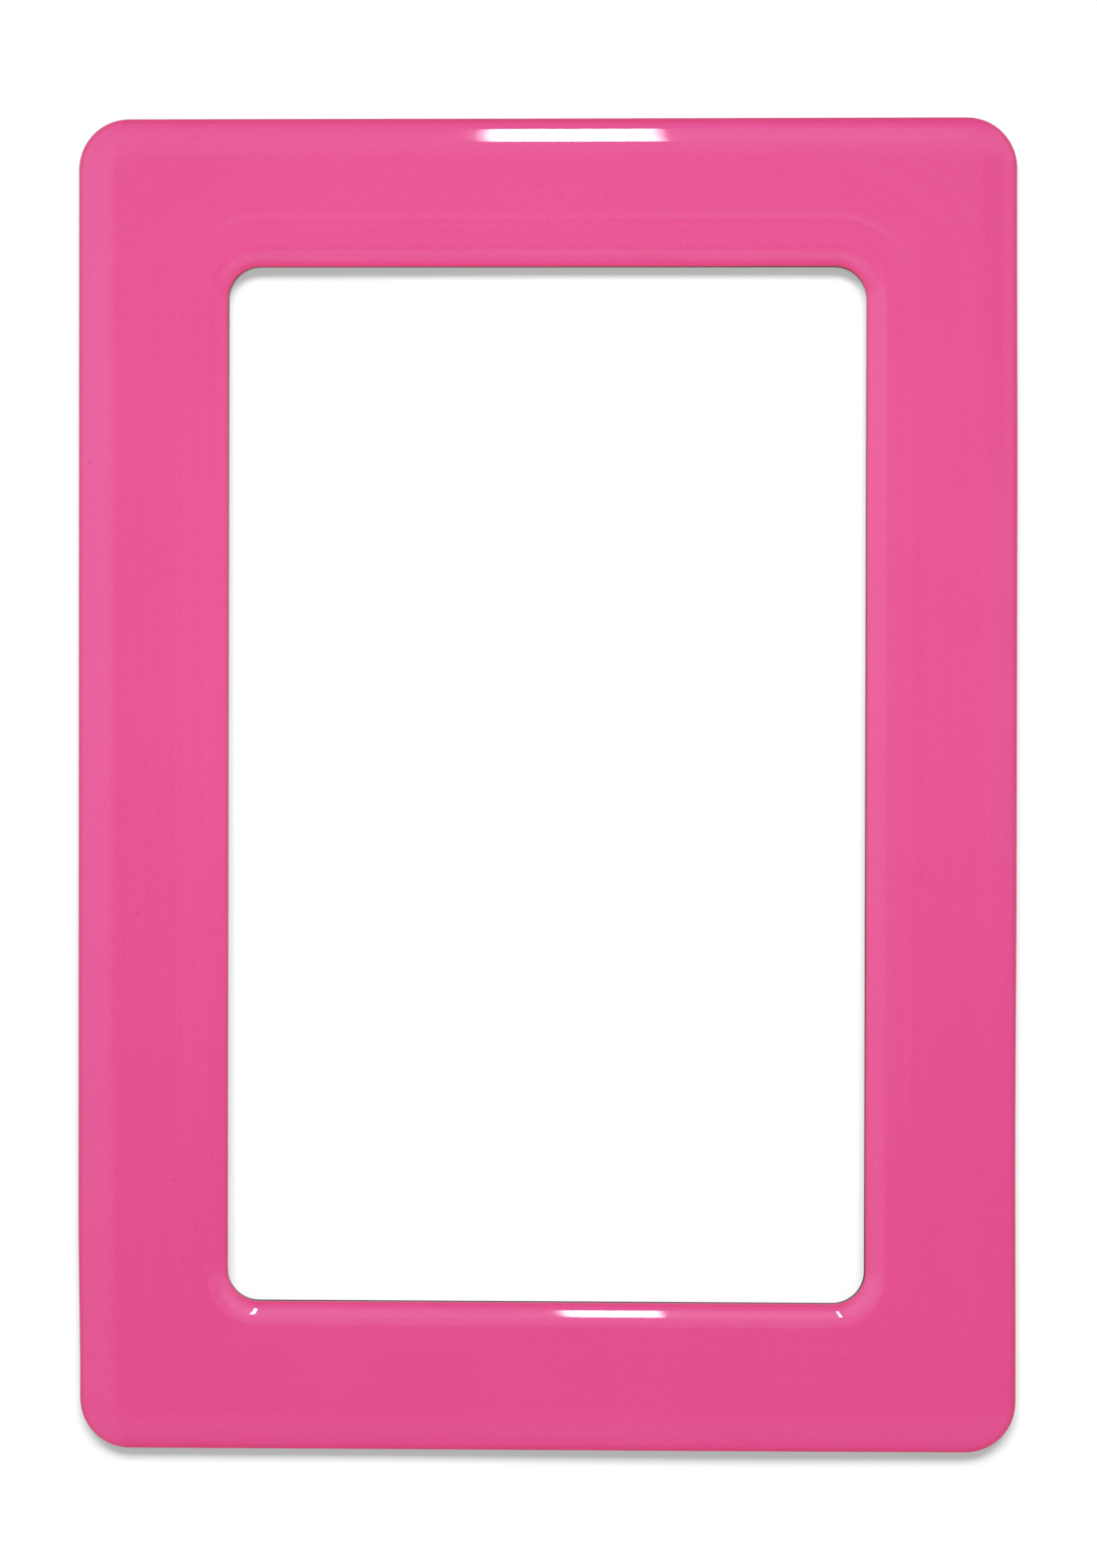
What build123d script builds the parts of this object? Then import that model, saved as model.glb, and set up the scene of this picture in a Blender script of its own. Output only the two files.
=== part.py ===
# Magnetic photo frame for a 10 x 15 cm print, in millimetres.
# A glossy moulded front shell is bonded with foam tape to a die-cut sheet of flexible magnet.
# The frame stands upright: X to the right, Z up, the front faces -Y, and the back lies in the plane Y = 0.
import os

from build123d import *

os.makedirs("parts", exist_ok=True)

# Opening for the print, and the rails beside, above and below it
opening_width = 80.0
opening_height = 130.0
opening_corner_radius = 4.0
side_rail_width = 18.85
end_rail_width = 18.5

# Magnet sheet
magnet_thickness = 0.85

# Front shell: how far it stands off the magnet, its wall, how far in from the outer edge its broad shoulder
# runs, the corner radius of the flat face that this leads up to, and the roll into the opening, which ends on
# a plain edge
shell_height = 2.4
shell_wall = 0.8
outer_shoulder_run = 5.2
flat_corner_radius = 1.1
opening_roll_run = 2.95
opening_roll_radius = 4.0

# Foam tape: clearance to the rounded parts of the shell, and between the ends of two strips
tape_margin = 0.3
tape_end_gap = 1.0

# How far the tools that round the edges reach past them
cut_overlap = 0.5

# Sizes that follow from the ones above
frame_width = opening_width + 2 * side_rail_width
frame_height = opening_height + 2 * end_rail_width
outer_corner_radius = flat_corner_radius + outer_shoulder_run
tape_inset = outer_shoulder_run + tape_margin
side_tape_width = side_rail_width - opening_roll_run - tape_margin - tape_inset
end_tape_width = end_rail_width - opening_roll_run - tape_margin - tape_inset
tape_thickness = shell_height - shell_wall

# The back of the frame, and the front face of the magnet, which carries the shell and the tape
back_plane = Plane.XZ
seat_plane = Plane.XZ.offset(magnet_thickness)


def frame_outline(inset=0.0):
    """Flat ring of the frame's outline around its opening, drawn in from both edges by inset."""
    RectangleRounded(frame_width - 2 * inset, frame_height - 2 * inset, outer_corner_radius - inset)
    RectangleRounded(
        opening_width + 2 * inset,
        opening_height + 2 * inset,
        opening_corner_radius + inset,
        mode=Mode.SUBTRACT,
    )


def round_edge(width, height, corner_radius, run, arc_across, arc_deep, top):
    """Round the right half of an edge to an arc of an ellipse that meets the front face. The arc starts run in
    from the bottom edge towards +Z, or out towards -Z where run is negative."""
    with BuildLine(seat_plane) as edge:
        FilletPolyline(
            (0, -height / 2),
            (width / 2, -height / 2),
            (width / 2, height / 2),
            (0, height / 2),
            radius=corner_radius,
        )
    edge_side = Align.MAX if run > 0 else Align.MIN
    with BuildSketch(Plane.YZ) as waste:
        with Locations((-magnet_thickness - top + arc_deep, -height / 2 + run)):
            Rectangle(arc_deep + cut_overlap, abs(run) + cut_overlap, align=(Align.MAX, edge_side))
            Ellipse(arc_deep, arc_across, mode=Mode.SUBTRACT)
    sweep(sections=waste.sketch, path=edge.line, mode=Mode.SUBTRACT)


def domed_ring(inset):
    """Frame-shaped ring with both edges rounded, drawn in from the shell's outside by inset."""
    top = shell_height - inset
    with BuildPart() as ring:
        with BuildSketch(seat_plane):
            frame_outline(inset)
        extrude(amount=top)
        round_edge(
            frame_width - 2 * inset,
            frame_height - 2 * inset,
            outer_corner_radius - inset,
            run=outer_shoulder_run - inset,
            arc_across=outer_shoulder_run - inset,
            arc_deep=top,
            top=top,
        )
        round_edge(
            opening_width + 2 * inset,
            opening_height + 2 * inset,
            opening_corner_radius + inset,
            run=inset - opening_roll_run,
            arc_across=opening_roll_radius - inset,
            arc_deep=opening_roll_radius - inset,
            top=top,
        )
        split(bisect_by=Plane.YZ, keep=Keep.TOP)
        mirror(about=Plane.YZ)
    return ring.part


# Magnet sheet: die-cut to the outline of the frame
with BuildPart() as magnet_sheet:
    with BuildSketch(back_plane):
        frame_outline()
    extrude(amount=magnet_thickness)
magnet_sheet.part.label = "magnet_sheet"
export_step(magnet_sheet.part, "parts/magnet_sheet.step")

# Front shell: the domed outside, hollowed by the same form drawn in by the wall
shell_outside = domed_ring(0.0)
shell_hollow = domed_ring(shell_wall)
with BuildPart() as front_shell:
    add(shell_outside)
    add(shell_hollow, mode=Mode.SUBTRACT)
front_shell.part.label = "front_shell"
export_step(front_shell.part, "parts/front_shell.step")

# Foam tape: two long strips in the side rails and two short ones between them, under the flat of the shell
side_strip_length = frame_height - 2 * outer_corner_radius
end_strip_length = frame_width - 2 * (tape_inset + side_tape_width + tape_end_gap)
side_strip_x = frame_width / 2 - tape_inset - side_tape_width / 2
end_strip_z = frame_height / 2 - tape_inset - end_tape_width / 2
for name, x, z, size_x, size_z in (
    ("tape_left", -side_strip_x, 0, side_tape_width, side_strip_length),
    ("tape_right", side_strip_x, 0, side_tape_width, side_strip_length),
    ("tape_top", 0, end_strip_z, end_strip_length, end_tape_width),
    ("tape_bottom", 0, -end_strip_z, end_strip_length, end_tape_width),
):
    with BuildPart() as tape:
        with BuildSketch(seat_plane):
            with Locations((x, z)):
                Rectangle(size_x, size_z)
        extrude(amount=tape_thickness)
    tape.part.label = name
    export_step(tape.part, f"parts/{name}.step")
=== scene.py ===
# %% [markdown]
# # A glossy magnetic photo frame
# The object is an open portrait frame for a 10 x 15 cm print. A thin moulded front shell in glossy pink
# plastic is bonded with foam tape to a sheet of dark flexible magnet, and the magnet holds the print
# against steel. The solids of the frame come first, at their real size, and every piece made here is placed
# on them.

# %% Load the solids
import math

import bpy
from mathutils import Matrix, Vector


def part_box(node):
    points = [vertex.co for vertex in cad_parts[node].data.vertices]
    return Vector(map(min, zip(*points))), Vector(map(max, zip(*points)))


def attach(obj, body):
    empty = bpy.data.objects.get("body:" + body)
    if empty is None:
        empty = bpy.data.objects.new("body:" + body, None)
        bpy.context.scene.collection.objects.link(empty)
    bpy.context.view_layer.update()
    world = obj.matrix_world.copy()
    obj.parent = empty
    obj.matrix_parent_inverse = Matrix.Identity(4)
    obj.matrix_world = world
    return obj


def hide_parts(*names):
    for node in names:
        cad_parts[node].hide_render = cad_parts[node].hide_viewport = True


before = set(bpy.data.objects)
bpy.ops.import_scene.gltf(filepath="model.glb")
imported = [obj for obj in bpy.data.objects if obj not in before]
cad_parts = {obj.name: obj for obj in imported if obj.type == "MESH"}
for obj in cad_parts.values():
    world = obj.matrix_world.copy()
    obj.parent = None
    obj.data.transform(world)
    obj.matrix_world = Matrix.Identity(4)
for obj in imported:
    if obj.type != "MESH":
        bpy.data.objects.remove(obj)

scene = bpy.context.scene
scene.view_settings.view_transform = "Standard"
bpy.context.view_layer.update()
shell_low, shell_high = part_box("front_shell")
magnet_low, magnet_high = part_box("magnet_sheet")
print("solids:", sorted(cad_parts))

# %% [markdown]
# ## Units and small helpers
# Blender works in metres, but a frame like this is drawn in millimetres, so one factor turns the sizes
# below into metres. Colours are written as the sRGB hex values that a paint chart gives, and one function
# turns them to the linear values that the shaders want. One more function adds a node: its settings are
# keywords, and each input takes either a plain value or the output of another node.

# %% Helpers
MM = 0.001


def linear(hex_colour):
    channels = [int(hex_colour[i:i + 2], 16) / 255 for i in (1, 3, 5)]
    return [c / 12.92 if c <= 0.04045 else ((c + 0.055) / 1.055) ** 2.4 for c in channels] + [1.0]


def add_node(tree, kind, inputs=(), **settings):
    node = tree.nodes.new(kind)
    for name, value in settings.items():
        setattr(node, name, value)
    for socket, value in dict(inputs).items():
        if isinstance(value, bpy.types.NodeSocket):
            tree.links.new(value, node.inputs[socket])
        else:
            node.inputs[socket].default_value = value
    return node


def new_material(name):
    material = bpy.data.materials.new(name)
    material.use_nodes = True
    material.node_tree.nodes.clear()
    return material, material.node_tree


print("a middle grey of #808080 in linear light:", round(linear("#808080")[0], 3))

# %% [markdown]
# ## Camera
# The photograph was taken nearly square on, with a long lens from about 60 cm. The right side stands a
# little larger than the left, so the camera is turned 1.7 degrees to the right of straight ahead, and it is
# half a degree above. The lens comes from the field of view, which takes in 1715 pixels of height.

# %% Camera
camera_distance = 600 * MM
camera_right_of_front = math.radians(1.692)
camera_above_front = math.radians(0.450)
camera_roll = math.radians(0.087)
camera_aim = Vector((0.235 * MM, 0, 0.104 * MM))
view_angle_tall = math.radians(18.638)

camera_data = bpy.data.cameras.new("photo_camera")
camera_data.lens = camera_data.sensor_width / 2 / math.tan(view_angle_tall / 2)
camera_data.clip_start = 10 * MM
camera = bpy.data.objects.new("photo_camera", camera_data)
scene.collection.objects.link(camera)
camera_turn = (
    Matrix.Rotation(camera_right_of_front, 4, "Z")
    @ Matrix.Rotation(math.pi / 2 - camera_above_front, 4, "X")
    @ Matrix.Rotation(camera_roll, 4, "Z")
)
camera_place = camera_aim + camera_turn.to_3x3() @ Vector((0, 0, camera_distance))
camera.matrix_world = Matrix.Translation(camera_place) @ camera_turn
scene.camera = camera
print("lens, mm:", round(camera_data.lens, 2), "camera at, mm:", [round(v / MM, 1) for v in camera_place])

# %% [markdown]
# ## Wall and floor
# In use the frame sits flat against a door, so a plain white wall stands just behind it and takes its
# shadow, and a pale floor lies well below. Both are stage, not part of the object. The frame stands half a
# millimetre further off the wall at its foot, so the shadow is longest there. The wall has a faint glow of
# its own, which gives the shadow one even tone right up to the frame. A wall would hide the back of the
# frame from a camera behind it, so its material is there only for camera rays that meet its front, and
# every other ray passes through.

# %% Wall and floor
gap_at_opening_top = 0.06 * MM
gap_at_foot = 0.54 * MM
opening_top = 65 * MM
wall_glow = 0.35
stage_size = 3000 * MM
floor_drop = 300 * MM


def stage_plane(name, place, turn, material):
    """A large plane that is stage and not part of the object."""
    bpy.ops.object.select_all(action="DESELECT")
    bpy.ops.mesh.primitive_plane_add(size=stage_size, location=place, rotation=turn)
    plane = bpy.context.object
    plane.name = name
    plane.data.materials.append(material)
    return plane


wall_paint, tree = new_material("glowing_wall_paint")
wall_diffuse = add_node(tree, "ShaderNodeBsdfDiffuse", {"Color": linear("#6C6C6C")})
wall_light = add_node(tree, "ShaderNodeEmission", {"Color": linear("#FFFFFF"), "Strength": wall_glow})
wall_front = add_node(tree, "ShaderNodeAddShader", {0: wall_diffuse.outputs[0], 1: wall_light.outputs[0]})
wall_clear = add_node(tree, "ShaderNodeBsdfTransparent")
ray = add_node(tree, "ShaderNodeLightPath")
side = add_node(tree, "ShaderNodeNewGeometry")
seen_from_front = add_node(
    tree,
    "ShaderNodeMath",
    {0: ray.outputs["Is Camera Ray"], 1: side.outputs["Backfacing"]},
    operation="SUBTRACT",
    use_clamp=True,
)
wall_mix = add_node(
    tree,
    "ShaderNodeMixShader",
    {0: seen_from_front.outputs[0], 1: wall_clear.outputs[0], 2: wall_front.outputs[0]},
)
add_node(tree, "ShaderNodeOutputMaterial", {"Surface": wall_mix.outputs[0]})

floor_paint, tree = new_material("pale_floor_paint")
floor_front = add_node(tree, "ShaderNodeBsdfDiffuse", {"Color": linear("#FCFCFA")})
add_node(tree, "ShaderNodeOutputMaterial", {"Surface": floor_front.outputs[0]})

wall_lean = math.atan((gap_at_foot - gap_at_opening_top) / (opening_top - shell_low.z))
wall_gap = gap_at_opening_top + opening_top * math.tan(wall_lean)
wall = stage_plane("wall", (0, magnet_high.y + wall_gap, 0), (math.pi / 2 + wall_lean, 0, 0), wall_paint)
floor = stage_plane("floor", (0, 0, shell_low.z - floor_drop), (0, 0, 0), floor_paint)
floor.visible_glossy = False
print("wall leans, degrees:", round(math.degrees(wall_lean), 3))
print("gap behind the frame at mid height, mm:", round(wall_gap / MM, 3))

# %% [markdown]
# ## Lamps
# Five lamps do what a product photographer's would. A strip light hangs above and in front of the frame,
# end on to it, and is there for the gloss alone: its narrow side makes the short white bars on the top edge
# and under the opening. A pale card beside it lifts the gloss to the right of the bars a little, and a
# bluish card behind the camera lifts the roll above the opening. A small lamp close in front lights the
# plastic a little more in the upper half than at the foot, and is kept out of the gloss. A broad background
# lamp lights the wall alone, from above, and draws the short soft shadow under each edge.

# %% Lamps
overhead_forward = -1059 * MM
overhead_height = 1062 * MM
overhead_length = 694 * MM


def area_light(name, place, width, length, radiance):
    """A rectangular lamp turned to the frame's mid height, with the radiance that a mirror would show."""
    light = bpy.data.lights.new(name, "AREA")
    light.shape = "RECTANGLE"
    light.size = width
    light.size_y = length
    light.energy = radiance * math.pi * width * length
    lamp = bpy.data.objects.new(name, light)
    lamp.location = place
    lamp.rotation_euler = Vector((0, -place[1], -place[2])).to_track_quat("-Z", "Y").to_euler()
    lamp.visible_camera = False
    scene.collection.objects.link(lamp)
    return lamp


strip = area_light(
    "strip_light",
    place=(-32.4 * MM, overhead_forward, overhead_height),
    width=63.2 * MM,
    length=overhead_length,
    radiance=25.0,
)
side_card = area_light(
    "fill_card",
    place=(100 * MM, overhead_forward, overhead_height),
    width=200 * MM,
    length=overhead_length,
    radiance=0.28,
)
camera_card = area_light(
    "camera_card",
    place=(-15 * MM, -640 * MM, 0),
    width=210 * MM,
    length=220 * MM,
    radiance=0.23,
)
camera_card.data.color = (0.6, 0.8, 1.0)
for gloss_lamp in (strip, side_card, camera_card):
    gloss_lamp.visible_diffuse = False
near_lamp = area_light(
    "near_light",
    place=(-4 * MM, -130 * MM, 42 * MM),
    width=60 * MM,
    length=60 * MM,
    radiance=2.3,
)
near_lamp.visible_glossy = False
wall_lamp = area_light(
    "background_light",
    place=(0, -1560 * MM, 1150 * MM),
    width=1500 * MM,
    length=640 * MM,
    radiance=65.6,
)
wall_only = bpy.data.collections.new("wall_only")
wall_only.objects.link(wall)
wall_lamp.light_linking.receiver_collection = wall_only
print("lamps:", [lamp.name for lamp in (strip, side_card, camera_card, near_lamp, wall_lamp)])

# %% [markdown]
# A reflection that ends in a hard edge gives a lamp away, so the strip fades towards its two long sides and
# the card behind the camera towards all four. The lamp's own nodes do this: Parametric runs from 0 to 1
# across the lamp, and the strength falls to nothing where it comes near either end.

# %% Soft edges of lamps


def fade_edges(lamp, shares):
    """Let a lamp fade over a share of its width (X) or length (Y) towards both edges."""
    lamp.data.use_nodes = True
    tree = lamp.data.node_tree
    tree.nodes.clear()
    geometry = add_node(tree, "ShaderNodeNewGeometry")
    lamp_place = add_node(tree, "ShaderNodeSeparateXYZ", {0: geometry.outputs["Parametric"]})
    strength = 1.0
    for axis, share in shares.items():
        off_middle = add_node(
            tree,
            "ShaderNodeMath",
            {0: lamp_place.outputs[axis], 1: 0.5},
            operation="SUBTRACT",
        )
        to_edge = add_node(tree, "ShaderNodeMath", {0: off_middle.outputs[0]}, operation="ABSOLUTE")
        fade = add_node(
            tree,
            "ShaderNodeMapRange",
            {"Value": to_edge.outputs[0], "From Min": 0.5, "From Max": 0.5 - share, "To Max": strength},
        )
        strength = fade.outputs[0]
    glow = add_node(tree, "ShaderNodeEmission", {"Strength": strength})
    add_node(tree, "ShaderNodeOutputLight", {"Surface": glow.outputs[0]})
    print(lamp.name, "fades over", shares)


fade_edges(strip, {"X": 0.10})
fade_edges(camera_card, {"X": 0.18, "Y": 0.18})

# %% [markdown]
# ## Room
# The room around the frame gives even light, as a white tent would. What the gloss reflects of it is not
# even, and by that the eye knows the plastic for glossy: the ceiling is bright and cool, the floor darker
# and warm. A colour ramp holds these levels by the height of the ray, from -1 straight down to 1 straight
# up.

# %% Ceiling and floor of the room
gloss_by_height = {
    -1: (0.26, 0.20, 0.10),
    -0.75: (0.48, 0.44, 0.34),
    -0.5: (0.54, 0.51, 0.43),
    -0.28: (0.46, 0.42, 0.32),
    -0.12: (0.34, 0.28, 0.14),
    0: (0.46, 0.46, 0.50),
    0.14: (0.54, 0.60, 0.68),
    0.30: (0.84, 0.91, 1.04),
    0.5: (0.90, 0.97, 1.14),
    0.8: (0.80, 0.80, 0.85),
    1: (0.30, 0.30, 0.32),
}

room = bpy.data.worlds.new("white_tent")
scene.world = room
room.use_nodes = True
tree = room.node_tree
tree.nodes.clear()
view_direction = add_node(tree, "ShaderNodeTexCoord").outputs["Generated"]
direction = add_node(tree, "ShaderNodeSeparateXYZ", {0: view_direction})
up_share = add_node(
    tree,
    "ShaderNodeMath",
    {0: direction.outputs["Z"], 1: 0.5, 2: 0.5},
    operation="MULTIPLY_ADD",
)
by_height = add_node(tree, "ShaderNodeValToRGB", {0: up_share.outputs[0]})
stops = by_height.color_ramp.elements
while len(stops) < len(gloss_by_height):
    stops.new(0.5)
for stop, (height, level) in zip(stops, gloss_by_height.items()):
    stop.position = (height + 1) / 2
    stop.color = (*level, 1)
print("levels of the room:", len(stops))

# %% [markdown]
# A bright wall stands on the left and a faint one on the right. Both are brightest just above mid height
# and fade upwards and downwards, and the one on the right ends a little below mid height. Their edges are
# pairs of places in the ray's direction, from where a wall is not seen to where it is seen in full.

# %% Side walls of the room
left_wall_level = 0.69
left_wall_edge = (-0.10, -0.38)
right_wall_level = 0.15
right_wall_edge = (0.02, 0.22)
right_wall_foot = (-0.085, 0)
wall_middle = 0.06
wall_fade = 0.34
wall_far_share = 0.2

above_middle = add_node(
    tree,
    "ShaderNodeMath",
    {0: direction.outputs["Z"], 1: wall_middle},
    operation="SUBTRACT",
)
off_middle = add_node(tree, "ShaderNodeMath", {0: above_middle.outputs[0]}, operation="ABSOLUTE")
walls_by_height = add_node(
    tree,
    "ShaderNodeMapRange",
    {"Value": off_middle.outputs[0], "From Max": wall_fade, "To Min": 1, "To Max": wall_far_share},
    interpolation_type="SMOOTHSTEP",
)
left_wall = add_node(
    tree,
    "ShaderNodeMapRange",
    {
        "Value": direction.outputs["X"],
        "From Min": left_wall_edge[0],
        "From Max": left_wall_edge[1],
        "To Max": left_wall_level,
    },
    interpolation_type="SMOOTHSTEP",
)
right_wall_by_height = add_node(
    tree,
    "ShaderNodeMapRange",
    {
        "Value": direction.outputs["Z"],
        "From Min": right_wall_foot[0],
        "From Max": right_wall_foot[1],
        "To Max": right_wall_level,
    },
    interpolation_type="SMOOTHSTEP",
)
right_wall = add_node(
    tree,
    "ShaderNodeMapRange",
    {
        "Value": direction.outputs["X"],
        "From Min": right_wall_edge[0],
        "From Max": right_wall_edge[1],
        "To Max": right_wall_by_height.outputs[0],
    },
    interpolation_type="SMOOTHSTEP",
)
both_walls = add_node(
    tree,
    "ShaderNodeMath",
    {0: left_wall.outputs[0], 1: right_wall.outputs[0]},
    operation="ADD",
)
side_walls = add_node(
    tree,
    "ShaderNodeMath",
    {0: both_walls.outputs[0], 1: walls_by_height.outputs[0]},
    operation="MULTIPLY",
)
print("wall levels, left and right:", left_wall_level, right_wall_level)

# %% [markdown]
# Above the faint wall the ceiling has a darker gap. Four soft steps bound it, each of which lets through
# what the one before it left. The walls are then added to what the ceiling and floor give, in a cool white.

# %% Gap in the ceiling
upper_right_gap = 0.5
gap_foot_edge = (0.03, 0.10)
gap_top_edge = (0.20, 0.45)
gap_left_edge = (0.08, 0.30)
gap_right_edge = (0.60, 0.85)
cool_white = (0.95, 1.0, 1.45, 1)

gap_foot = add_node(
    tree,
    "ShaderNodeMapRange",
    {
        "Value": direction.outputs["Z"],
        "From Min": gap_foot_edge[0],
        "From Max": gap_foot_edge[1],
        "To Max": upper_right_gap,
    },
    interpolation_type="SMOOTHSTEP",
)
gap_top = add_node(
    tree,
    "ShaderNodeMapRange",
    {
        "Value": direction.outputs["Z"],
        "From Min": gap_top_edge[0],
        "From Max": gap_top_edge[1],
        "To Min": gap_foot.outputs[0],
        "To Max": 0,
    },
    interpolation_type="SMOOTHSTEP",
)
gap_left = add_node(
    tree,
    "ShaderNodeMapRange",
    {
        "Value": direction.outputs["X"],
        "From Min": gap_left_edge[0],
        "From Max": gap_left_edge[1],
        "To Max": gap_top.outputs[0],
    },
    interpolation_type="SMOOTHSTEP",
)
gap = add_node(
    tree,
    "ShaderNodeMapRange",
    {
        "Value": direction.outputs["X"],
        "From Min": gap_right_edge[0],
        "From Max": gap_right_edge[1],
        "To Min": gap_left.outputs[0],
        "To Max": 0,
    },
    interpolation_type="SMOOTHSTEP",
)
ceiling = add_node(
    tree,
    "ShaderNodeMix",
    {0: gap.outputs[0], 6: by_height.outputs[0], 7: linear("#000000")},
    data_type="RGBA",
)
gloss_colour = add_node(
    tree,
    "ShaderNodeMix",
    {0: side_walls.outputs[0], 6: ceiling.outputs[2], 7: cool_white},
    data_type="RGBA",
    blend_type="ADD",
)
print("the gap takes from the ceiling:", upper_right_gap)

# %% [markdown]
# The kind of ray tells which room it sees. Gloss rays see the graded room, with little light from behind
# the frame. The camera sees white, and all other rays see the even tent.

# %% Rooms by ray
room_level = 0.95
behind_edge = (-0.15, 0.20)
behind_share = 0.45

behind = add_node(
    tree,
    "ShaderNodeMapRange",
    {
        "Value": direction.outputs["Y"],
        "From Min": behind_edge[0],
        "From Max": behind_edge[1],
        "To Min": 1,
        "To Max": behind_share,
    },
    interpolation_type="SMOOTHSTEP",
)
even_room = add_node(tree, "ShaderNodeBackground", {"Color": linear("#FFFFFF"), "Strength": room_level})
gloss_room = add_node(
    tree,
    "ShaderNodeBackground",
    {"Color": gloss_colour.outputs[2], "Strength": behind.outputs[0]},
)
white_room = add_node(tree, "ShaderNodeBackground", {"Color": linear("#FFFFFF"), "Strength": 1.0})
ray = add_node(tree, "ShaderNodeLightPath")
lit_room = add_node(
    tree,
    "ShaderNodeMixShader",
    {0: ray.outputs["Is Glossy Ray"], 1: even_room.outputs[0], 2: gloss_room.outputs[0]},
)
seen_room = add_node(
    tree,
    "ShaderNodeMixShader",
    {0: ray.outputs["Is Camera Ray"], 1: lit_room.outputs[0], 2: white_room.outputs[0]},
)
add_node(tree, "ShaderNodeOutputWorld", {"Surface": seen_room.outputs[0]})
print("room nodes:", len(tree.nodes))

# %% [markdown]
# ## Front shell: its section
# The shell is one moulding. In section, a broad shoulder, a quarter of an ellipse, climbs from the outer
# edge to a flat rail. Towards the opening the rail falls away very softly, with a faint raised line on it,
# and then rolls over on a radius and ends on a plain edge. Each half of the section is a list of places:
# how far from its edge, and how high above or below where it starts. The hollow inside has the same form,
# drawn in by the wall. The opening is a hair less high than that of the solids, as it measures in the
# photograph.

# %% Section of the shell
opening_width = 80 * MM
opening_height = 129.8 * MM
opening_corner_radius = 4.0 * MM
outer_corner_radius = 6.3 * MM
outer_shoulder_run = 5.2 * MM
roll_run = 2.95 * MM
roll_radius = 4.0 * MM
edge_rounding = 0.3 * MM
edge_steps = 5
wall_draft = 0.02 * MM
soft_start_run = 7.0 * MM
soft_start_drop = 0.06 * MM
raised_line_from_opening = 5.7 * MM
raised_line_half_width = 0.25 * MM
raised_line_height = 0.05 * MM
last_flat_ring = 4.2 * MM
shell_wall = 0.8 * MM

frame_width = shell_high.x - shell_low.x
frame_height = shell_high.z - shell_low.z
shell_rise = shell_high.y - shell_low.y


def turns(start, end, steps):
    """Angles at even steps from start to end."""
    return [start + (end - start) * step / steps for step in range(steps + 1)]


def shoulder_section(run, rise, steps):
    """(inset, height) from the foot at the outer edge up to the flat."""
    return [(run * (1 - math.cos(turn)), rise * math.sin(turn)) for turn in turns(0, math.pi / 2, steps)]


def roll_section(run, radius, rounding, rise, steps):
    """(distance from the opening, height) from the flat over the roll and down the plain edge."""
    last_turn = math.asin((run - rounding) / (radius - rounding))
    section = [
        (run - radius * math.sin(turn), -radius * (1 - math.cos(turn)))
        for turn in turns(0, last_turn, steps)
    ]
    if rounding > 0:
        low = -radius * (1 - math.cos(last_turn)) - rounding * math.cos(last_turn)
        section += [
            (rounding * (1 - math.sin(turn)), low + rounding * math.cos(turn))
            for turn in turns(last_turn, math.pi / 2, edge_steps)[1:]
        ]
    return [(place + wall_draft, height) for place, height in section] + [(0, -rise)]


outside_roll = [
    (soft_start_run, 0),
    (raised_line_from_opening + raised_line_half_width, 0),
    (raised_line_from_opening, raised_line_height),
    (raised_line_from_opening - raised_line_half_width, 0),
    (last_flat_ring, 0),
] + roll_section(roll_run, roll_radius, edge_rounding, shell_rise, steps=24)
soft_roll = [
    (place, max(height - soft_start_drop * (1 - place / soft_start_run) ** 2, -shell_rise))
    for place, height in outside_roll
]
steepest = math.degrees(math.asin(roll_run / roll_radius))
print("section places:", len(soft_roll), "steepest roll, degrees:", round(steepest))

# %% [markdown]
# ## Front shell: its rings
# Rounded rectangles are drawn as planes with bevelled corners, one at the foot of each shoulder and one
# where each roll starts. Insets then step each plane along its section. Insets keep every ring parallel to
# the edge, as the real shoulder is. The outside and the hollow are made in turn by the same steps, and the
# hollow has one ring more at each edge, flat on the magnet, which is the foot of the wall.

# %% Rings of the shell
corner_steps = 14


def start_piece(name):
    """An empty mesh object at the origin, open in edit mode."""
    bpy.ops.object.select_all(action="DESELECT")
    bpy.ops.mesh.primitive_plane_add(size=1)
    piece = bpy.context.object
    piece.name = name
    bpy.ops.object.mode_set(mode="EDIT")
    bpy.ops.mesh.delete(type="VERT")
    return piece


def rounded_plane(width, height, radius, depth_y):
    """A flat rounded rectangle that faces the front, added in edit mode and left selected."""
    bpy.ops.mesh.select_all(action="DESELECT")
    bpy.ops.mesh.primitive_plane_add(size=1, location=(0, depth_y, 0), rotation=(math.pi / 2, 0, 0))
    bpy.ops.transform.resize(value=(width, 1, height), center_override=(0, depth_y, 0))
    bpy.ops.mesh.bevel(offset=radius, offset_type="OFFSET", segments=corner_steps, affect="VERTICES")
    bpy.ops.mesh.select_mode(type="FACE")


def outline_plane(outset, depth_y, around_opening):
    """A rounded plane that follows the outer edge or the opening, set out from it."""
    if around_opening:
        size = (opening_width, opening_height, opening_corner_radius)
    else:
        size = (frame_width, frame_height, outer_corner_radius)
    rounded_plane(size[0] + 2 * outset, size[1] + 2 * outset, size[2] + outset, depth_y)


def inset_rings(places):
    """Step the selected face through (inset, height) places, then take it away."""
    for (inset_a, height_a), (inset_b, height_b) in zip(places, places[1:]):
        bpy.ops.mesh.inset(thickness=inset_b - inset_a, depth=height_b - height_a, use_even_offset=True)
    bpy.ops.mesh.delete(type="ONLY_FACE")


def dome_rings(shoulder, roll, front_y):
    """Rings of the shell's front or of its hollow, up from the outer edge and down into the opening."""
    roll_start = roll[0][0]
    outline_plane(0, shell_high.y, around_opening=False)
    inset_rings(shoulder)
    outline_plane(roll_start, front_y, around_opening=True)
    inset_rings([(roll_start - place, height) for place, height in roll])


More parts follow.
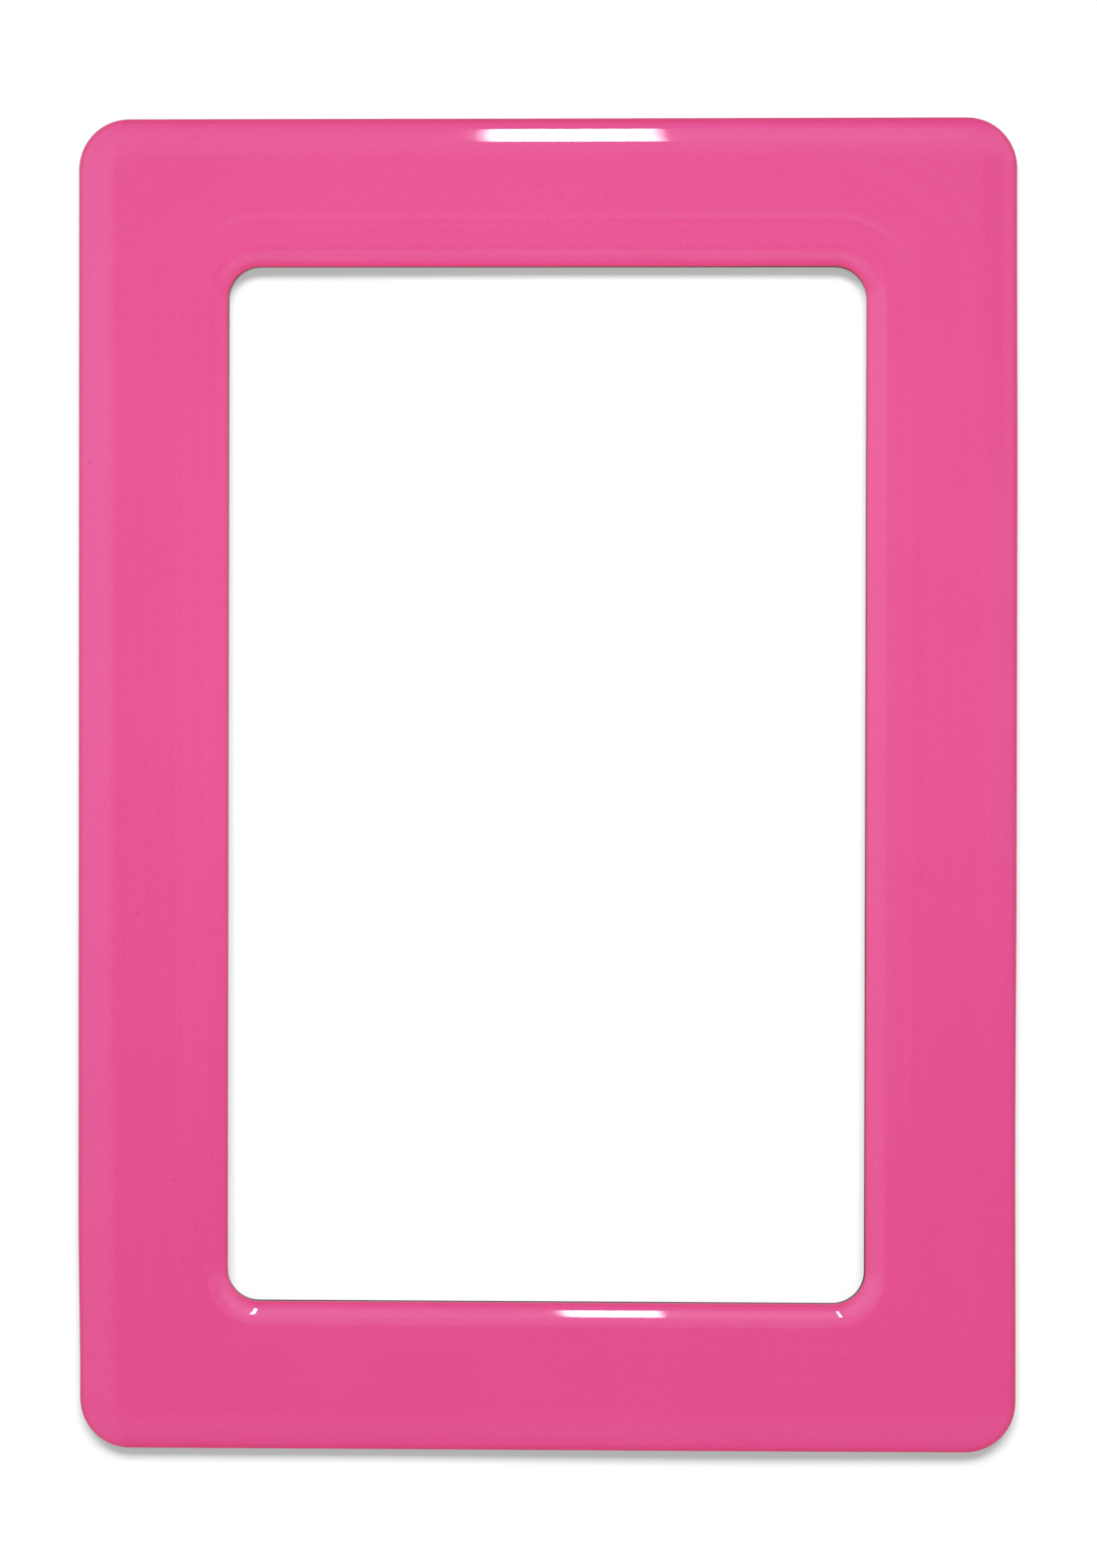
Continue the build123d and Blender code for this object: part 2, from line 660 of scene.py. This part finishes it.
hollow_rise = shell_rise - shell_wall
hollow_shoulder = shoulder_section(outer_shoulder_run - shell_wall, hollow_rise, steps=8)
hollow_roll = roll_section(roll_run - shell_wall, roll_radius - shell_wall, 0, hollow_rise, steps=6)

shell = start_piece("glossy_shell")
dome_rings(shoulder_section(outer_shoulder_run, shell_rise, steps=22), soft_roll, shell_low.y)
dome_rings(
    [(0, 0)] + [(shell_wall + inset, height) for inset, height in hollow_shoulder],
    [(shell_wall + place, height) for place, height in hollow_roll] + [(0, -hollow_rise)],
    shell_low.y + shell_wall,
)
bpy.ops.object.mode_set(mode="OBJECT")
print("shell rings:", len(shell.data.vertices), "vertices,", len(shell.data.polygons), "faces")

# %% [markdown]
# ## Front shell: closing it
# The outside and the hollow meet along both edges of the foot, where their points are merged. The open rims
# are bridged in pairs, across the flat of the front and across the ceiling of the hollow.

# %% Feet and bridges
flat_steps = 6
same_place = 0.0001 * MM
merge_reach = 0.2 * MM


def distance_outside(x, z, width, height, radius):
    """How far a point lies outside a rounded rectangle, less than zero inside it."""
    over_x = abs(x) - width / 2 + radius
    over_z = abs(z) - height / 2 + radius
    return math.hypot(max(over_x, 0), max(over_z, 0)) + min(max(over_x, over_z), 0) - radius


def from_opening(point):
    return distance_outside(point.x, point.z, opening_width, opening_height, opening_corner_radius)


def from_outer_edge(point):
    return -distance_outside(point.x, point.z, frame_width, frame_height, outer_corner_radius)


def select_edges(piece, wanted):
    """Select, in edit mode, the edges whose two end points are both wanted."""
    bpy.ops.object.mode_set(mode="EDIT")
    bpy.ops.mesh.select_mode(type="EDGE")
    bpy.ops.mesh.select_all(action="DESELECT")
    bpy.ops.object.mode_set(mode="OBJECT")
    chosen = [wanted(vertex.co) for vertex in piece.data.vertices]
    for edge in piece.data.edges:
        edge.select = chosen[edge.vertices[0]] and chosen[edge.vertices[1]]
    bpy.ops.object.mode_set(mode="EDIT")


def at_depth(depth_y):
    return lambda point: abs(point.y - depth_y) < same_place


select_edges(shell, at_depth(shell_low.y))
bpy.ops.mesh.bridge_edge_loops(number_cuts=flat_steps, interpolation="LINEAR")
select_edges(shell, at_depth(shell_low.y + shell_wall))
bpy.ops.mesh.bridge_edge_loops(interpolation="LINEAR")
select_edges(shell, at_depth(shell_high.y))
bpy.ops.mesh.remove_doubles(threshold=merge_reach)
bpy.ops.object.mode_set(mode="OBJECT")
print("shell closed:", len(shell.data.polygons), "faces")

# %% [markdown]
# Long faces would make poor reflections, so the long edges along the rails are cut up as well.

# %% Cut up the rails
rail_steps = 60
long_edge = 30 * MM


def select_long_edges(piece, length):
    """Select, in edit mode, the edges that are longer than length."""
    select_edges(piece, lambda point: False)
    bpy.ops.object.mode_set(mode="OBJECT")
    points = [vertex.co for vertex in piece.data.vertices]
    for edge in piece.data.edges:
        edge.select = (points[edge.vertices[0]] - points[edge.vertices[1]]).length > length
    bpy.ops.object.mode_set(mode="EDIT")


select_long_edges(shell, long_edge)
bpy.ops.mesh.subdivide(number_cuts=rail_steps - 1)
bpy.ops.mesh.select_all(action="SELECT")
bpy.ops.mesh.normals_make_consistent(inside=False)
bpy.ops.object.mode_set(mode="OBJECT")
bpy.ops.object.transform_apply(location=True, rotation=True, scale=True)
print("shell:", len(shell.data.vertices), "vertices,", len(shell.data.polygons), "faces")

# %% [markdown]
# ## Front shell: a moulding is never quite true
# The raised line is not the same all round. It is nearly gone on the right rail and at the foot, faint on
# the left rail and boldest at the upper right, so the points on those stretches are moved back or forward
# by a few hundredths of a millimetre. The rest of the top rail keeps the height that the section gave.

# %% Raised line
line_drop_left = 0.026 * MM
line_drop_low = 0.038 * MM
line_lift_upper_right = 0.02 * MM
bold_stretch_from = 10 * MM
line_reach = 0.05 * MM


def on_raised_line(point):
    off_line = abs(from_opening(point) - raised_line_from_opening)
    return point.y < shell_low.y + shell_wall / 2 and off_line < line_reach


def on_right_or_low(point):
    on_right = point.x > opening_width / 2 and point.z < opening_height / 2
    return on_right or point.z < -opening_height / 2


def on_left(point):
    return point.x < -opening_width / 2 and not on_right_or_low(point)


def on_upper_right(point):
    return point.x > bold_stretch_from and point.z > opening_height / 2


def move_line(stretch, move_y):
    """Move one stretch of the raised line, back into the shell where move_y is above zero."""
    select_edges(shell, lambda point: on_raised_line(point) and stretch(point))
    bpy.ops.transform.translate(value=(0, move_y, 0))
    bpy.ops.object.mode_set(mode="OBJECT")
    print(stretch.__name__, "height of the line, mm:", round((raised_line_height - move_y) / MM, 3))


move_line(on_left, line_drop_left)
move_line(on_right_or_low, line_drop_low)
move_line(on_upper_right, -line_lift_upper_right)

# %% [markdown]
# The top rail is dished and the bottom rail swells, by a tenth and a quarter of a millimetre. The eye sees
# this only in the length of the white bars that the strip light makes. Two corners and a stretch of the
# right edge are drawn in a little, and two tiny swells in the lower corners of the opening widen the glints
# there. Each is one move of a single point with proportional editing, which takes the surface around it
# along.

# %% Dish, swell and edges
crease_angle = math.radians(40)
dish = {"x": 3.5 * MM, "z": 81.3 * MM, "move": (0, 0.115 * MM, 0), "reach": 40 * MM}
swell = {"x": 19.2 * MM, "z": -66.2 * MM, "move": (0, -0.28 * MM, 0), "reach": 45 * MM}
right_edge = {"x": 58.8 * MM, "z": -45 * MM, "move": (-0.09 * MM, 0, 0), "reach": 32 * MM}
lower_left_corner = {"x": -58.8 * MM, "z": -77 * MM, "move": (0.25 * MM, 0, 0), "reach": 25 * MM}
upper_right_corner = {"x": 58.8 * MM, "z": 75 * MM, "move": (-0.13 * MM, 0, 0), "reach": 40 * MM}
left_glint = {"x": -36.7 * MM, "z": -66.3 * MM, "move": (0, -0.05 * MM, 0), "reach": 2.4 * MM}
right_glint = {**left_glint, "x": 36.2 * MM}


def nudge(piece, x, z, move, reach):
    """Move the point nearest to (x, z), and what lies within reach of it less and less."""
    bpy.ops.object.select_all(action="DESELECT")
    piece.select_set(True)
    bpy.context.view_layer.objects.active = piece
    select_edges(piece, lambda point: False)
    bpy.ops.mesh.select_mode(type="VERT")
    bpy.ops.object.mode_set(mode="OBJECT")
    nearest = min(piece.data.vertices, key=lambda v: math.hypot(v.co.x - x, v.co.z - z))
    nearest.select = True
    bpy.ops.object.mode_set(mode="EDIT")
    bpy.ops.transform.translate(
        value=move,
        use_proportional_edit=True,
        proportional_edit_falloff="SMOOTH",
        proportional_size=reach,
    )
    bpy.ops.object.mode_set(mode="OBJECT")


for spot in (dish, swell, right_edge, lower_left_corner, upper_right_corner, left_glint, right_glint):
    nudge(shell, **spot)
bpy.ops.object.shade_smooth_by_angle(angle=crease_angle)
print("front of the shell, mm:", round(min(v.co.y for v in shell.data.vertices) / MM, 3))

# %% [markdown]
# The finish follows the rails, so each point of a piece keeps its place on them in an attribute: how far it
# lies from the opening, how far along the rail, and how far from the outer edge, all in millimetres.

# %% Place on the rails


def keep_rail_place(piece):
    places = []
    for vertex in piece.data.vertices:
        point = vertex.co
        places += [from_opening(point) / MM, (point.x + point.z) / MM, from_outer_edge(point) / MM]
    piece.data.attributes.new("rail_place", "FLOAT_VECTOR", "POINT").data.foreach_set("vector", places)
    print(piece.name, "widest rail, mm:", round(max(places[0::3]), 2))


keep_rail_place(shell)

# %% [markdown]
# ## Magnet sheet
# The back is a sheet of flexible magnet, ferrite powder in rubber, die-cut to the outline of the frame. It
# shows as a thin dark line round the inside of the opening. Two outlines are bridged and extruded to the
# sheet's thickness, and a small bevel rounds the edges as a cutting die does. The sheet was bonded by hand
# and sits a fraction of a degree askew and a little to the left, so its line is heaviest at the lower left.
# Its two corners are drawn in with those of the shell.

# %% Magnet sheet
askew = math.radians(0.05)
cut_short = 0.08 * MM
set_left = 0.04 * MM
set_high = 0.005 * MM
die_rounding = 0.05 * MM
die_angle = math.radians(60)

magnet = start_piece("magnet_backing")
for around_opening, outset in ((False, -cut_short), (True, 0)):
    outline_plane(outset, magnet_high.y, around_opening)
    bpy.ops.mesh.delete(type="ONLY_FACE")
bpy.ops.mesh.select_mode(type="EDGE")
bpy.ops.mesh.select_all(action="SELECT")
bpy.ops.mesh.bridge_edge_loops()
bpy.ops.mesh.select_all(action="SELECT")
bpy.ops.mesh.extrude_region_move(TRANSFORM_OT_translate={"value": (0, magnet_low.y - magnet_high.y, 0)})
bpy.ops.mesh.select_all(action="SELECT")
bpy.ops.transform.rotate(value=-askew, orient_axis="Y", center_override=(0, 0, 0))
bpy.ops.transform.translate(value=(-set_left, 0, set_high))
bpy.ops.mesh.normals_make_consistent(inside=False)
bpy.ops.object.mode_set(mode="OBJECT")
bpy.ops.object.transform_apply(location=True, rotation=True, scale=True)
for spot in (lower_left_corner, upper_right_corner):
    nudge(magnet, **spot)
die_cut = magnet.modifiers.new("die_cut_edge", "BEVEL")
die_cut.width = die_rounding
die_cut.segments = 2
die_cut.limit_method = "ANGLE"
die_cut.angle_limit = die_angle
bpy.ops.object.modifier_apply(modifier=die_cut.name)
bpy.ops.object.shade_smooth_by_angle(angle=crease_angle)
keep_rail_place(magnet)
print("magnet:", len(magnet.data.vertices), "vertices,", len(magnet.data.polygons), "faces")

# %% [markdown]
# ## Glossy pink plastic
# The shell is ABS, moulded in a polished tool and coloured right through. That gives the eye a clear, even
# pink under a sharp gloss. Slow clouds and faint streaks along the rails, where the plastic flowed, vary
# the colour a little. All patterns are noise in real sizes or come from the place on the rails.

# %% Pink and its flow marks
cloud_size = 18
streak_width = 0.9
streak_length = 45
streak_part = 0.4


def per_mm(size):
    """Texture scale, in turns per metre, for a pattern of this size in millimetres."""
    return 1 / (size * MM)


pink_plastic, tree = new_material("glossy_pink_abs")
place = add_node(tree, "ShaderNodeTexCoord").outputs["Object"]
rail_place = add_node(tree, "ShaderNodeAttribute", attribute_name="rail_place").outputs["Vector"]
rail = add_node(tree, "ShaderNodeSeparateXYZ", {0: rail_place})
position = add_node(tree, "ShaderNodeSeparateXYZ", {0: place})

clouds = add_node(tree, "ShaderNodeTexNoise", {"Vector": place, "Scale": per_mm(cloud_size), "Detail": 3})
streak_place = add_node(
    tree,
    "ShaderNodeVectorMath",
    {0: rail_place, 1: (1 / streak_width, 1 / streak_length, 0)},
    operation="MULTIPLY",
)
streaks = add_node(
    tree,
    "ShaderNodeTexNoise",
    {"Vector": streak_place.outputs[0], "Scale": 1, "Detail": 2},
)
flow = add_node(
    tree,
    "ShaderNodeMix",
    {0: streak_part, 2: clouds.outputs["Fac"], 3: streaks.outputs["Fac"]},
    data_type="FLOAT",
)
flow_pink = add_node(
    tree,
    "ShaderNodeMix",
    {0: flow.outputs[0], 6: linear("#E14289"), 7: linear("#E74E93")},
    data_type="RGBA",
)
print("clouds of", cloud_size, "mm, streaks of", streak_width, "x", streak_length, "mm")

# %% [markdown]
# Close up the pigment has a very fine grain, drawn coarser than it is so that it shows, and three tiny dark
# specks were moulded in on the left rail. A speck is where the distance to its place, seen from the front,
# is less than its radius. Noise seldom leaves the middle of its range, so that part is stretched here and
# in the finishes below.

# %% Pigment grain and specks
noise_low = 0.3
noise_high = 0.7
grain_size = 0.3
grain_strength = 0.15
speck_strength = 0.8
speck_radius = 0.17 * MM
speck_places = ((-46.6 * MM, -49.6 * MM), (-51.2 * MM, -16.2 * MM), (-57.3 * MM, 40.4 * MM))

pigment = add_node(tree, "ShaderNodeTexNoise", {"Vector": place, "Scale": per_mm(grain_size), "Detail": 1})
grain_share = add_node(
    tree,
    "ShaderNodeMapRange",
    {
        "Value": pigment.outputs["Fac"],
        "From Min": noise_low,
        "From Max": noise_high,
        "To Max": grain_strength,
    },
)
pink = add_node(
    tree,
    "ShaderNodeMix",
    {0: grain_share.outputs[0], 6: flow_pink.outputs[2], 7: linear("#EE6AA6")},
    data_type="RGBA",
)
front_place = add_node(tree, "ShaderNodeVectorMath", {0: place, 1: (1, 0, 1)}, operation="MULTIPLY")
for x, z in speck_places:
    to_speck = add_node(
        tree,
        "ShaderNodeVectorMath",
        {0: front_place.outputs[0], 1: (x, 0, z)},
        operation="DISTANCE",
    )
    speck = add_node(
        tree,
        "ShaderNodeMapRange",
        {
            "Value": to_speck.outputs["Value"],
            "From Min": speck_radius,
            "From Max": 0,
            "To Max": speck_strength,
        },
    )
    pink = add_node(
        tree,
        "ShaderNodeMix",
        {0: speck.outputs[0], 6: pink.outputs[2], 7: linear("#84204A")},
        data_type="RGBA",
    )
print("specks:", len(speck_places), "of radius, mm:", round(speck_radius / MM, 2))

# %% [markdown]
# Prints slide in and out under the top and bottom of the opening and rub those two rolls a little paler, in
# streaks along the rail. Part of the pale is painted sheen, for the light that these two rolls catch. The
# rub and sheen lie between two soft steps across the roll, and only on the end rails.

# %% Rub and painted sheen
rub_and_sheen_strength = 0.062
rub_and_sheen_start = (2.2, 1.5)
rub_and_sheen_end = (0.4, 0.9)
end_rails_from = (60 * MM, 66 * MM)

roll_start = add_node(
    tree,
    "ShaderNodeMapRange",
    {"Value": rail.outputs["X"], "From Min": rub_and_sheen_start[0], "From Max": rub_and_sheen_start[1]},
    interpolation_type="SMOOTHSTEP",
)
roll_end = add_node(
    tree,
    "ShaderNodeMapRange",
    {"Value": rail.outputs["X"], "From Min": rub_and_sheen_end[0], "From Max": rub_and_sheen_end[1]},
    interpolation_type="SMOOTHSTEP",
)
height_off_middle = add_node(tree, "ShaderNodeMath", {0: position.outputs["Z"]}, operation="ABSOLUTE")
end_rails = add_node(
    tree,
    "ShaderNodeMapRange",
    {"Value": height_off_middle.outputs[0], "From Min": end_rails_from[0], "From Max": end_rails_from[1]},
    interpolation_type="SMOOTHSTEP",
)
rub_and_sheen_share = roll_start.outputs[0]
for factor in (roll_end.outputs[0], end_rails.outputs[0], streaks.outputs["Fac"], rub_and_sheen_strength):
    product = add_node(tree, "ShaderNodeMath", {0: rub_and_sheen_share, 1: factor}, operation="MULTIPLY")
    rub_and_sheen_share = product.outputs[0]
# Rub and painted sheen: a pale pink mixed over the top and bottom rolls in streaks.
rubbed_and_sheen_pink = add_node(
    tree,
    "ShaderNodeMix",
    {0: rub_and_sheen_share, 6: pink.outputs[2], 7: linear("#FFE8FF")},
    data_type="RGBA",
)
print("rub from", rub_and_sheen_start[0], "to", rub_and_sheen_end[0], "mm off the opening")

# %% [markdown]
# Towards both edges of the shell the colour is painted a deeper red, over a strip less than a millimetre
# wide: painted shade on the steep rims, where less light falls.

# %% Painted shade at the edges
outer_rim_shade_strip = 0.9
outer_rim_shade_strength = 0.55
opening_rim_shade_strip = 0.45
opening_rim_shade_strength = 0.5

outer_rim_shade = add_node(
    tree,
    "ShaderNodeMapRange",
    {
        "Value": rail.outputs["Z"],
        "From Min": outer_rim_shade_strip,
        "From Max": 0,
        "To Max": outer_rim_shade_strength,
    },
)
opening_rim_shade = add_node(
    tree,
    "ShaderNodeMapRange",
    {
        "Value": rail.outputs["X"],
        "From Min": opening_rim_shade_strip,
        "From Max": 0,
        "To Max": opening_rim_shade_strength,
    },
)
# Painted shade: the stronger of the two rim strips decides how much deeper red is mixed in.
edge = add_node(
    tree,
    "ShaderNodeMath",
    {0: outer_rim_shade.outputs[0], 1: opening_rim_shade.outputs[0]},
    operation="MAXIMUM",
)
# Painted shade: a deeper red mixed in along the outer edge and the edge of the opening.
rim_shaded_pink = add_node(
    tree,
    "ShaderNodeMix",
    {0: edge.outputs[0], 6: rubbed_and_sheen_pink.outputs[2], 7: linear("#E23858")},
    data_type="RGBA",
)
print("deeper strips, mm:", outer_rim_shade_strip, "outside and", opening_rim_shade_strip, "at the opening")

# %% [markdown]
# The gloss is that of a polished tool: a very slight orange peel, and slow sink marks over the foam tape
# inside. Both are far too shallow to model, so they are a bump of well under a hundredth of a millimetre.

# %% Gloss and relief
orange_peel_size = 1.8
orange_peel_depth = 0.0002 * MM
sink_size = 25
sink_depth = 0.003 * MM
smoothest = 0.018
roughest = 0.03

orange_peel = add_node(
    tree,
    "ShaderNodeTexNoise",
    {"Vector": place, "Scale": per_mm(orange_peel_size), "Detail": 2},
)
sink = add_node(tree, "ShaderNodeTexNoise", {"Vector": place, "Scale": per_mm(sink_size), "Detail": 1})
sink_height = add_node(
    tree,
    "ShaderNodeMath",
    {0: sink.outputs["Fac"], 1: sink_depth},
    operation="MULTIPLY",
)
height = add_node(
    tree,
    "ShaderNodeMath",
    {0: orange_peel.outputs["Fac"], 1: orange_peel_depth, 2: sink_height.outputs[0]},
    operation="MULTIPLY_ADD",
)
relief = add_node(tree, "ShaderNodeBump", {"Strength": 1, "Distance": 1, "Height": height.outputs[0]})
gloss = add_node(
    tree,
    "ShaderNodeMapRange",
    {
        "Value": clouds.outputs["Fac"],
        "From Min": noise_low,
        "From Max": noise_high,
        "To Min": smoothest,
        "To Max": roughest,
    },
)
surface = add_node(
    tree,
    "ShaderNodeBsdfPrincipled",
    {
        "Base Color": rim_shaded_pink.outputs[2],
        "Roughness": gloss.outputs[0],
        "IOR": 1.54,
        "Normal": relief.outputs[0],
    },
)
add_node(tree, "ShaderNodeOutputMaterial", {"Surface": surface.outputs[0]})
shell.data.materials.append(pink_plastic)
print("plastic nodes:", len(tree.nodes))

# %% [markdown]
# ## Flexible magnet
# The magnet sheet is ferrite in a rubber binder, rolled between calenders. That gives the eye a matt brown
# black with a fine grain, drawn coarser than it is so that it shows, and faint roller lines along its
# length.

# %% Flexible magnet
ferrite_grain_size = 0.5
ferrite_grain_depth = 0.02 * MM
roller_line_width = 1.5
roller_line_length = 60
rubber_smoothest = 0.5
rubber_roughest = 0.7

magnet_rubber, tree = new_material("calendered_ferrite_rubber")
place = add_node(tree, "ShaderNodeTexCoord").outputs["Object"]
grain = add_node(
    tree,
    "ShaderNodeTexNoise",
    {"Vector": place, "Scale": per_mm(ferrite_grain_size), "Detail": 4},
)
across, along = per_mm(roller_line_width), per_mm(roller_line_length)
roller_place = add_node(
    tree,
    "ShaderNodeVectorMath",
    {0: place, 1: (across, across, along)},
    operation="MULTIPLY",
)
roller_lines = add_node(
    tree,
    "ShaderNodeTexNoise",
    {"Vector": roller_place.outputs[0], "Scale": 1, "Detail": 2},
)
rubber = add_node(
    tree,
    "ShaderNodeMix",
    {0: grain.outputs["Fac"], 6: linear("#1E1816"), 7: linear("#3A302B")},
    data_type="RGBA",
)
rolled_rubber = add_node(
    tree,
    "ShaderNodeMix",
    {0: roller_lines.outputs["Fac"], 6: rubber.outputs[2], 7: linear("#332A26")},
    data_type="RGBA",
)
matt = add_node(
    tree,
    "ShaderNodeMapRange",
    {
        "Value": roller_lines.outputs["Fac"],
        "From Min": noise_low,
        "From Max": noise_high,
        "To Min": rubber_smoothest,
        "To Max": rubber_roughest,
    },
)
relief = add_node(
    tree,
    "ShaderNodeBump",
    {"Strength": 1, "Distance": ferrite_grain_depth, "Height": grain.outputs["Fac"]},
)
surface = add_node(
    tree,
    "ShaderNodeBsdfPrincipled",
    {
        "Base Color": rolled_rubber.outputs[2],
        "Roughness": matt.outputs[0],
        "IOR": 1.5,
        "Normal": relief.outputs[0],
    },
)
add_node(tree, "ShaderNodeOutputMaterial", {"Surface": surface.outputs[0]})
magnet.data.materials.append(magnet_rubber)
print("magnet nodes:", len(tree.nodes))

# %% [markdown]
# ## Foam tape
# The foam tape is hidden between the shell and the magnet, and keeps its solid. It is white closed-cell
# foam, so it gets small pale cells.

# %% Foam tape
cell_size = 0.4
cell_depth = 0.05 * MM

foam, tree = new_material("white_closed_cell_foam")
place = add_node(tree, "ShaderNodeTexCoord").outputs["Object"]
cells = add_node(tree, "ShaderNodeTexVoronoi", {"Vector": place, "Scale": per_mm(cell_size)})
foam_white = add_node(
    tree,
    "ShaderNodeMix",
    {0: cells.outputs["Distance"], 6: linear("#F1EFE8"), 7: linear("#D8D5CB")},
    data_type="RGBA",
)
relief = add_node(
    tree,
    "ShaderNodeBump",
    {"Strength": 1, "Distance": cell_depth, "Height": cells.outputs["Distance"]},
)
surface = add_node(
    tree,
    "ShaderNodeBsdfPrincipled",
    {"Base Color": foam_white.outputs[2], "Roughness": 0.85, "IOR": 1.5, "Normal": relief.outputs[0]},
)
add_node(tree, "ShaderNodeOutputMaterial", {"Surface": surface.outputs[0]})
tapes = [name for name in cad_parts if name.startswith("tape_")]
for name in tapes:
    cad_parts[name].data.materials.clear()
    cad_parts[name].data.materials.append(foam)
print("foam on:", sorted(tapes))

# %% [markdown]
# ## Pieces
# Nothing on this frame moves, so both pieces ride on its one body, and the solid that each stands for is
# hidden.

# %% Pieces
pieces = ((shell, "front_shell", "shell_plastic"), (magnet, "magnet_sheet", "ferrite_magnet"))
for piece, node, slot in pieces:
    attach(piece, "root")
    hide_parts(node)
